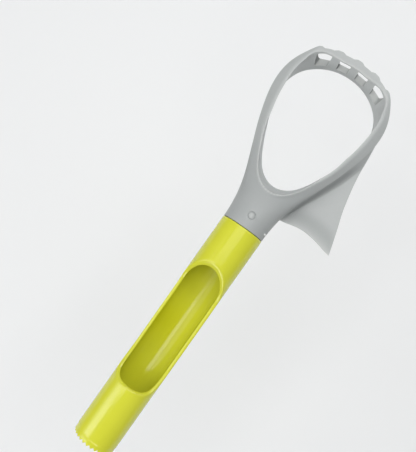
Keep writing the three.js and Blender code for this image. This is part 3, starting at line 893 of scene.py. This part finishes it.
def grey_plastic():
    m = Nodes("head_plastic_satin")
    base = m.mix(m.span(m.noise(55, 4), 0, 1), (0.405, 0.424, 0.421), (0.432, 0.450, 0.446))
    base = m.mix(m.span(m.noise(900, 2), 0, 0.5), base, (0.445, 0.462, 0.458))
    # paler sharp edges: painted highlight
    base = m.mix(m.span(m.attribute("edge"), 0, 0.5, 0, 1), base, (0.66, 0.675, 0.66))
    # painted shade on the neck and on the fin's lower band
    base = m.mix(m.span(m.attribute("neck_fin_painted_shade"), 0, 0.7, 0, 1), base, (0.33, 0.347, 0.345))
    # painted shade on the back of the loop's inner wall
    base = m.mix(m.span(m.attribute("wall_painted_shade"), 0, 0.6, 0, 1), base, (0.30, 0.315, 0.312))
    # painted shade in the crease between arm and fin
    base = m.mix(m.span(m.attribute("crease_painted_shade"), 0, 0.5, 0, 1), base, (0.20, 0.212, 0.212))
    # painted highlight on the slit rims
    base = m.mix(m.span(m.attribute("rim"), 0, 0.5, 0, 1), base, (0.60, 0.615, 0.60))
    # painted highlight along the crest and on the gate stud
    base = m.mix(m.span(m.attribute("crest"), 0, 0.6, 0, 1), base, (0.60, 0.615, 0.60))
    # painted glow on the fin's thin edges and painted highlight on the pip
    base = m.mix(m.span(m.attribute("fin_glow_pip_highlight"), 0, 0.85, 0, 1), base, (0.68, 0.70, 0.685))
    # painted shade on the slit sides and floors
    base = m.mix(m.span(m.attribute("slit_painted_shade"), 0, 0.75, 0, 1), base, (0.17, 0.18, 0.175))
    rough = m.span(m.noise(160, 3), 0.42, 0.5)
    normal = m.bump(m.noise(2600, 3), 0.10, 0.00012)
    normal = m.bump(m.noise(120, 2), 0.05, 0.0006, normal)
    return m.shader(base, rough, normal, Specular_IOR_Level=0.42)


def yellow_plastic():
    m = Nodes("handle_plastic_gloss")
    base = m.mix(m.span(m.noise(40, 3), 0, 1), (0.655, 0.668, 0.043), (0.680, 0.690, 0.050))
    # paler sharp edges: painted highlight
    base = m.mix(m.span(m.attribute("edge"), 0, 0.18, 0, 1), base, (0.80, 0.82, 0.10))
    # painted shade inside the bore
    base = m.mix(m.span(m.attribute("bore_painted_shade"), 0, 1, 0, 1), base, (0.53, 0.53, 0.014))
    rough = m.span(m.noise(220, 3), 0.13, 0.18)
    normal = m.bump(m.noise(70, 2, stretch=(1, 0.35, 1)), 0.05, 0.0012)
    normal = m.bump(m.noise(2400, 2), 0.03, 0.0001, normal)
    return m.shader(base, rough, normal, Specular_IOR_Level=0.5)


def floor_surface():
    m = Nodes("pale_floor")
    base = m.mix(m.span(m.noise(3, 2), 0, 1), (0.838, 0.846, 0.850), (0.848, 0.856, 0.860))
    return m.shader(base, m.span(m.noise(30, 2), 0.7, 0.8), None, Specular_IOR_Level=0.2)


# -------------------------------------------------------------------------- build
head = head_object()
handle = handle_object()
edge_highlight_attribute(handle, 0.9)
_hm = (np.array([v.co for v in handle.data.vertices], float) - ORIGIN) * 1000
# painted shade inside the bore, deepest mid-window, weaker on the right
_bore_shade = smooth(-10.2, -9.5, -np.hypot(_hm[:, 0], _hm[:, 2]))
point_attribute(handle, "bore_painted_shade", _bore_shade * (0.45 + 0.55 * np.exp(-((_hm[:, 1] + 60) / 13) ** 2)) * lerp(1.0, 0.4, smooth(0, 6.5, _hm[:, 0])))

# painted light: the knife fin paler towards its thin edges as a painted glow, and a painted highlight on the pip
_co = np.array([v.co for v in head.data.vertices], float)
_mm = (_co - ORIGIN) * 1000
_fin_outer = curve_through(FIN_OUTER_LINE, 120)
_fin_lower = curve_through(FIN_LOWER_LINE, 120)
_d1 = np.sqrt(((_mm[:, None, :2] - _fin_outer[None]) ** 2).sum(2).min(1))
_d2 = np.sqrt(((_mm[:, None, :2] - _fin_lower[None]) ** 2).sum(2).min(1))
_on_fin = (np.abs(_mm[:, 2] - FIN_Z) < 2.2) & (_mm[:, 0] > half_width(_mm[:, 1]) + 0.4) & (_mm[:, 1] > 12) & (_mm[:, 1] < 72)
_fin_glow = np.maximum(np.maximum(0.6 * np.exp(-_d2 / 1.5), 0.25 * np.exp(-_d1 / 1.0)), 0.12 * smooth(7, 12, _d2)) * _on_fin
_pip = np.linalg.norm(_mm - PIP, axis=1) < 0.78
point_attribute(head, "fin_glow_pip_highlight", np.where(_pip, 1.0, np.clip(_fin_glow, 0, 1)))
edge_highlight_attribute(head, 0.9, _on_fin)

# painted highlight along the crest round the neck and on the window rims, painted shade on the neck, in the crease, on
# the inner wall and on the window sides
_ridge = CREST_LINE
_dc = np.concatenate([np.sqrt(((c[:, None, :] - _ridge[None]) ** 2).sum(2).min(1)) for c in np.array_split(_mm, 40)])
_crest_highlight = np.exp(-(np.clip(_dc - 0.2, 0, None) / 0.65) ** 2) * (1 - 0.75 * smooth(32, 52, _mm[:, 1]) + 0.25 * smooth(80, 90, _mm[:, 1]))
_stud_highlight = 0.55 * (np.hypot(_mm[:, 0] - GATE[0], _mm[:, 1] - GATE[1]) < 1.28) * (_mm[:, 2] > 5)
point_attribute(head, "crest", np.maximum(_crest_highlight, _stud_highlight))
# painted shade: darker neck and a darker band along the fin's lower part
_neck_shade = (1 - smooth(24, 44, _mm[:, 1])) * lerp(0.55, 1.0, smooth(8, 20, _mm[:, 1])) * (1 - smooth(0, 2.5, _mm[:, 0] - half_width(_mm[:, 1])))
_fin_band_shade = 0.75 * np.exp(-((_d2 - 5.5) / 3.2) ** 2) * _on_fin * (_mm[:, 0] > half_width(_mm[:, 1]) + 2.5)
point_attribute(head, "neck_fin_painted_shade", np.maximum(_neck_shade, _fin_band_shade))
# painted shade along the crease at the arm's foot
_gap = (_mm[:, 0] - half_width(_mm[:, 1])) * 0.9
_crease_shade = np.exp(-((_gap - 1.0) / 1.15) ** 2) * smooth(10, 22, _mm[:, 1]) * (1 - smooth(50, 60, _mm[:, 1])) * (_mm[:, 2] < 0) * (_mm[:, 2] > FIN_Z - 0.5)
point_attribute(head, "crease_painted_shade", _crease_shade)
# painted shade on the loop's inner wall, darker towards the back, fading at the corners
_deg = np.degrees(np.arctan2(_mm[:, 0], _mm[:, 1] - LOOP_Y))
_t = np.clip((_mm[:, 2] - BACK_Z) / (crest(_mm[:, 1]) - BACK_Z), 0, 1)
_wall = lerp(inner(BACK_TABLE, _deg), inner(FRONT_TABLE, _deg), _t[:, None])
_wall = np.hypot(_wall[:, 0], _wall[:, 1] - LOOP_Y) - np.hypot(_mm[:, 0], _mm[:, 1] - LOOP_Y)
point_attribute(head, "wall_painted_shade", (np.abs(_wall) < 0.4) * (1 - smooth(-10.6, -3.2, _mm[:, 2])) * (1 - np.where(_deg > 0, smooth(20, 36, _deg), smooth(29, 43, -_deg))))
# painted highlight on the sharp edges round the slits
_rim_highlight = np.zeros(len(_mm))
for e in head.data.edges:
    if e.use_edge_sharp:
        _rim_highlight[list(e.vertices)] = 1.0
_rim_highlight *= (_mm[:, 1] > 84) & (_mm[:, 1] < 97) & (np.abs(_mm[:, 0]) < 19.7) & (_mm[:, 2] > SLIT_BOTTOM - 0.2) & (_mm[:, 2] < SLIT_TOP + 0.1)
point_attribute(head, "rim", _rim_highlight)
# painted shade in the slits: side walls darkest, floors lighter
_slit_shade = np.zeros(len(head.data.polygons))
for f in head.data.polygons:
    c = (np.array(f.center) - ORIGIN) * 1000
    if not (84 < c[1] < 97.5 and SLIT_BOTTOM - 0.1 < c[2] < SLIT_TOP - 0.05 and f.normal.y > -0.25 and abs(c[0]) < 19.6):
        continue
    if abs(f.normal.x) > 0.6:
        _slit_shade[f.index] = 1.0 if f.normal.x > 0 else 0.45
    elif f.normal.z > 0.8:
        _slit_shade[f.index] = lerp(0.22, 0.34, float(smooth(8, 18, abs(c[0]))))
_at = head.data.attributes.new("slit_painted_shade", "FLOAT", "FACE")
_at.data.foreach_set("value", _slit_shade.astype(np.float32))

head.data.materials.clear()
head.data.materials.append(grey_plastic())
handle.data.materials.clear()
handle.data.materials.append(yellow_plastic())

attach(head, "head")
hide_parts("slicer_head")
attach(handle, "handle")
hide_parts("corer_handle")

# -------------------------------------------------------------------------- stage
floor_me = bpy.data.meshes.new("floor")
floor_me.from_pydata([(-3, -3, -0.16), (3, -3, -0.16), (3, 3, -0.16), (-3, 3, -0.16)], [], [(0, 1, 2, 3)])
floor = bpy.data.objects.new("floor", floor_me)
floor.data.materials.append(floor_surface())
bpy.context.scene.collection.objects.link(floor)

scene = bpy.context.scene
scene.view_settings.view_transform = "Standard"
scene.view_settings.look = "None"

world = bpy.data.worlds.new("studio")
world.use_nodes = True
bg = world.node_tree.nodes["Background"]
bg.inputs["Color"].default_value = (0.97, 0.985, 1.0, 1)
bg.inputs["Strength"].default_value = 0.10
scene.world = world


def softbox(name, direction, distance, size, power, color=(1, 1, 1), level=False):
    light = bpy.data.lights.new(name, "AREA")
    light.shape = "RECTANGLE"
    light.size, light.size_y = size
    light.energy, light.color = power, color
    ob = bpy.data.objects.new(name, light)
    d = Vector(direction).normalized()
    middle = Vector((0.0, 0.02, 0.01))
    ob.location = middle + d * distance
    ob.rotation_euler = d.to_track_quat("Z", "Y").to_euler()
    if level:                             # one side of the box square to the tool's length
        across = (Vector((1, 0, 0)) - d * d.x).normalized()
        ob.rotation_euler = Matrix((across, d.cross(across), d)).transposed().to_euler()
    bpy.context.scene.collection.objects.link(ob)
    return ob


softbox("key", (-0.545, -0.47, 0.69), 1.25, (0.46, 0.24), 1.05, level=True)
softbox("key_strip", (-0.33, -0.28, 0.90), 1.25, (0.46, 0.32), 1.5, level=True)
softbox("key_core", (-0.72, -0.47, 0.51), 1.255, (0.25, 0.24), 0.45)
softbox("key_side", (-0.67, -0.47, 0.574), 1.2, (0.9, 0.9), 2.6)
softbox("top", (0.0, 0.26, 0.966), 1.3, (1.2, 0.95), 5.4)
softbox("beyond_head", (0.069, 0.785, 0.616), 1.2, (0.9, 0.6), 6.2)
softbox("beyond_handle", (0.075, -0.863, 0.5), 1.2, (0.8, 0.5), 5.5)
softbox("far_left", (-0.6, 0.6, 0.53), 1.2, (0.7, 0.6), 0.8)
softbox("right", (0.6, 0.6, 0.53), 1.2, (0.6, 0.6), 1.7)

# ------------------------------------------------------------------------- camera
cam = bpy.data.cameras.new("camera")
cam.sensor_fit = "VERTICAL"
cam.sensor_height = 36.0
cam.lens = 560 / 452 * 36.0
cam.clip_start = 0.01
camera = bpy.data.objects.new("camera", cam)
right = Vector((0.81409, 0.57524, -0.07967))
down = Vector((0.57503, -0.81765, -0.02785))
ahead = Vector((-0.08116, -0.02314, -0.99643))
place = Vector((7.687, -2.664, 272.164)) * 0.001 + Vector(ORIGIN.tolist())
m = Matrix.Identity(4)
for i in range(3):
    m[i][0], m[i][1], m[i][2], m[i][3] = right[i], -down[i], -ahead[i], place[i]
camera.matrix_world = m
scene.collection.objects.link(camera)
scene.camera = camera

bpy.context.view_layer.update()
